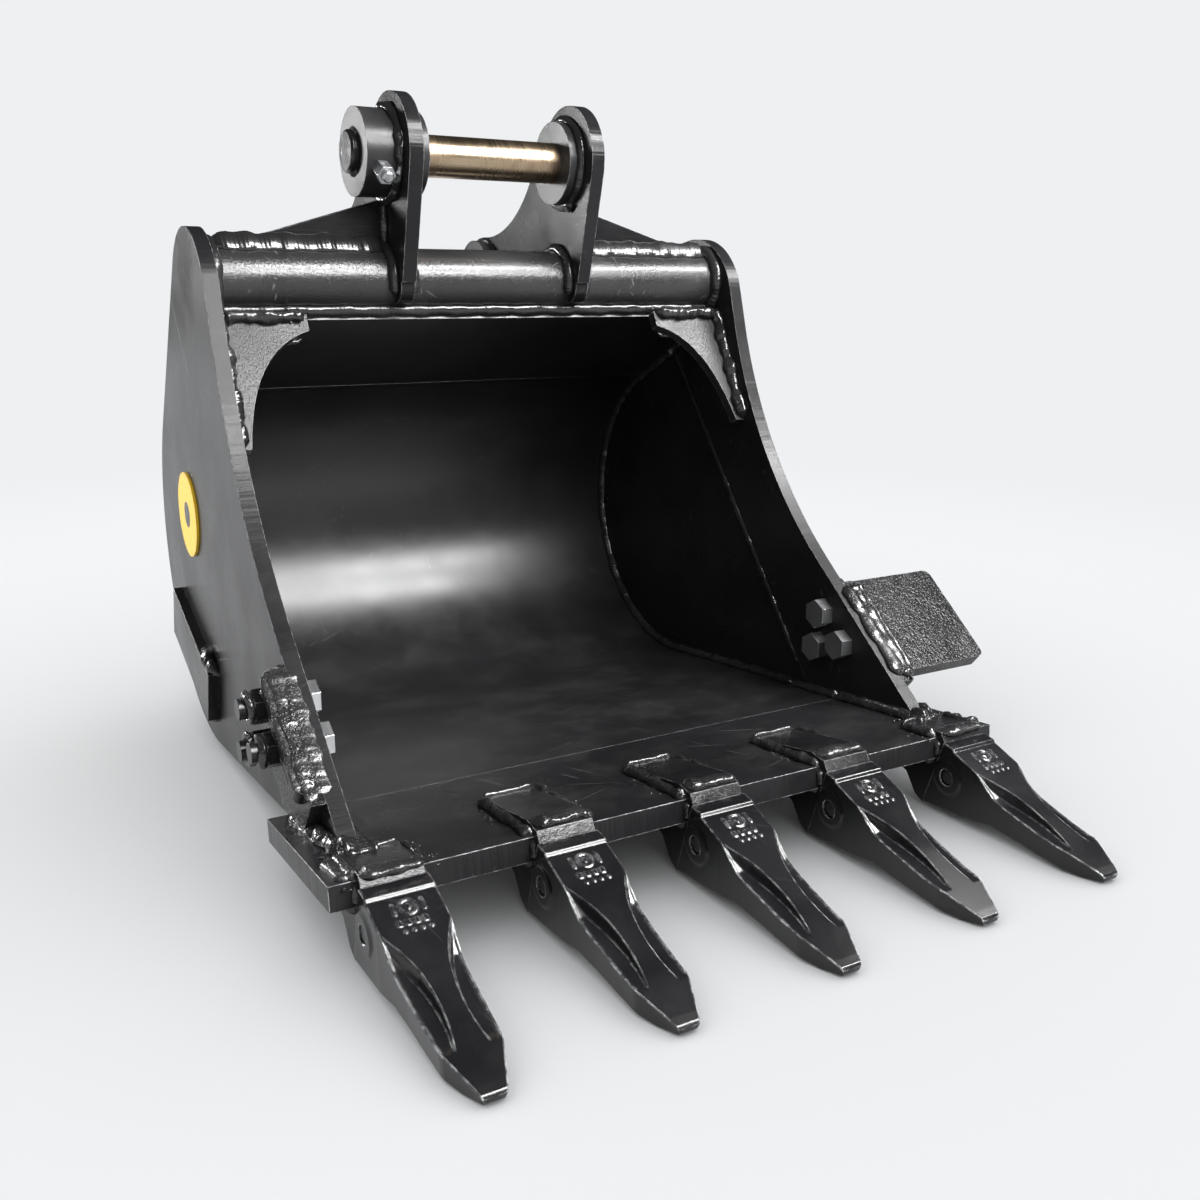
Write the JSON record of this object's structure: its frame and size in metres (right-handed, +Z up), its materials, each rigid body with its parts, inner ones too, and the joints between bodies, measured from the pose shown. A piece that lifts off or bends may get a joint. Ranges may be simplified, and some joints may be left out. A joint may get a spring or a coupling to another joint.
{
  "type": "excavator bucket",
  "caption": "Welded digging bucket with a rolled shell, side walls, replaceable teeth on a thick lip, a bolted side cutter and two pin ears with one pin fitted.",
  "frame": {"origin": "centre of the link-pin bore, midway between the two ears, with the bucket lying on its teeth and heel", "axes": "+X along the link-pin bore, from the collar side to the other ear; +Y from the teeth to the heel; +Z up from the ground that the teeth and heel rest on"},
  "size_m": [0.84, 0.9806, 0.7393],
  "materials": {
    "enamel_plate": "gloss black enamel over sheared plate, with flame-cut edges",
    "enamel_shell": "smooth gloss black enamel on rolled plate",
    "enamel_tube": "gloss black enamel with a fine orange-peel grain",
    "enamel_ear": "gloss black enamel with flame-cut edges",
    "enamel_turned": "satin black enamel over turned steel",
    "enamel_cutter": "gloss black enamel over rough plate",
    "painted_fastener": "gloss black enamel on bolts and nuts",
    "cast_tooth": "gloss black enamel over cast steel",
    "cast_adapter": "gloss black enamel over cast steel",
    "hardened_pin": "yellow-passivated ground steel",
    "plated_fastener": "bright zinc plate, partly painted",
    "steel_pin": "oiled steel",
    "badge_yellow": "gloss yellow disc"
  },
  "bodies": {
    "bucket": {"side_wall_l": "enamel_plate", "side_wall_r": "enamel_plate", "side_bar_l": "enamel_plate", "side_bar_r": "enamel_plate", "shell": "enamel_shell", "back_plate": "enamel_shell", "lip": "enamel_plate", "torque_tube": "enamel_tube", "ear_l": "enamel_ear", "ear_r": "enamel_ear", "pin_boss_l": "enamel_turned", "pin_boss_r": "enamel_turned", "link_boss_l": "enamel_turned", "link_boss_r": "enamel_turned", "pin_collar": "enamel_turned", "link_collar": "enamel_turned", "main_pin": "hardened_pin", "gusset_l": "enamel_plate", "gusset_r": "enamel_plate", "corner_gusset_l": "enamel_plate", "corner_gusset_r": "enamel_plate", "side_cutter_l": "enamel_cutter", "side_cutter_r": "enamel_cutter", "cutter_bolts_l": "plated_fastener", "cutter_bolts_r": "plated_fastener", "cutter_nuts_l": "painted_fastener", "cutter_nuts_r": "painted_fastener", "side_wear_l": "enamel_cutter", "side_wear_r": "enamel_cutter", "heel_strip_1": "enamel_cutter", "heel_strip_2": "enamel_cutter", "heel_strip_3": "enamel_cutter", "adapter_1": "cast_adapter", "adapter_2": "cast_adapter", "adapter_3": "cast_adapter", "adapter_4": "cast_adapter", "adapter_5": "cast_adapter", "tooth_1": "cast_tooth", "tooth_2": "cast_tooth", "tooth_3": "cast_tooth", "tooth_4": "cast_tooth", "tooth_5": "cast_tooth", "badge": "badge_yellow"},
    "keeper_bolt": {"keeper_bolt": "plated_fastener"},
    "keeper_nuts": {"keeper_nuts": "plated_fastener"},
    "tooth_pin_1": {"tooth_pin_1": "steel_pin"},
    "tooth_pin_2": {"tooth_pin_2": "steel_pin"},
    "tooth_pin_3": {"tooth_pin_3": "steel_pin"},
    "tooth_pin_4": {"tooth_pin_4": "steel_pin"},
    "tooth_pin_5": {"tooth_pin_5": "steel_pin"}
  },
  "joints": [
    {"name": "keeper_bolt_slide", "type": "slide", "parent": "bucket", "child": "keeper_bolt", "axis": [0, 0.8988, 0.4384], "range_m": [0, 0.125]},
    {"name": "keeper_nuts_slide", "type": "slide", "parent": "bucket", "child": "keeper_nuts", "axis": [0, -0.8988, -0.4384], "range_m": [0, 0.032]},
    {"name": "tooth_pin_1_slide", "type": "slide", "parent": "bucket", "child": "tooth_pin_1", "axis": [-1, 0, 0], "range_m": [0, 0.085]},
    {"name": "tooth_pin_2_slide", "type": "slide", "parent": "bucket", "child": "tooth_pin_2", "axis": [-1, 0, 0], "range_m": [0, 0.085]},
    {"name": "tooth_pin_3_slide", "type": "slide", "parent": "bucket", "child": "tooth_pin_3", "axis": [-1, 0, 0], "range_m": [0, 0.085]},
    {"name": "tooth_pin_4_slide", "type": "slide", "parent": "bucket", "child": "tooth_pin_4", "axis": [-1, 0, 0], "range_m": [0, 0.085]},
    {"name": "tooth_pin_5_slide", "type": "slide", "parent": "bucket", "child": "tooth_pin_5", "axis": [-1, 0, 0], "range_m": [0, 0.085]}
  ]
}
